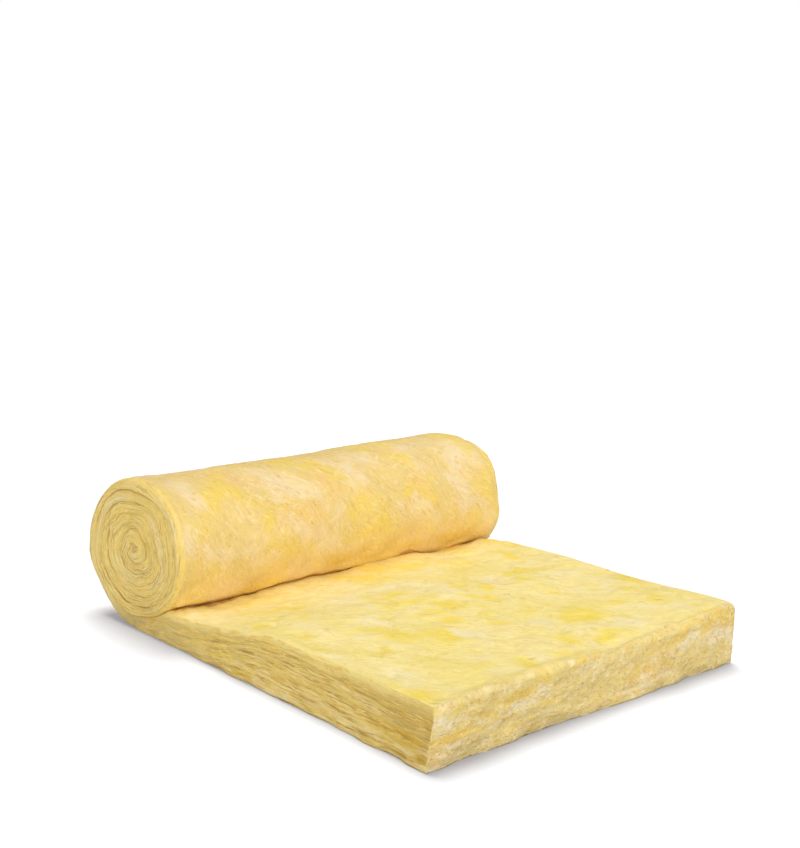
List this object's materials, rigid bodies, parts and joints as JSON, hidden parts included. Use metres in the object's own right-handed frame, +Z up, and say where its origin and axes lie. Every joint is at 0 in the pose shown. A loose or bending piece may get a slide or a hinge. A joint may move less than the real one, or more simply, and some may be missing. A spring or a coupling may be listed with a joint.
{
  "type": "glass wool insulation roll",
  "caption": "Part-unrolled glass wool blanket: a flat run at full loft with a cut end, and the rest still wound as a tight roll. Laid between rafters or joists as thermal insulation.",
  "frame": {"origin": "centre of the bounding box on the floor it lies on", "axes": "+X along the roll, +Y from the cut end of the flat run towards the roll, +Z up"},
  "size_m": [1.2, 1.305, 0.42],
  "materials": {
    "glass_wool": "matte, fibrous, pale yellow"
  },
  "bodies": {
    "root": {"glass_wool_blanket": "glass_wool"}
  },
  "joints": []
}
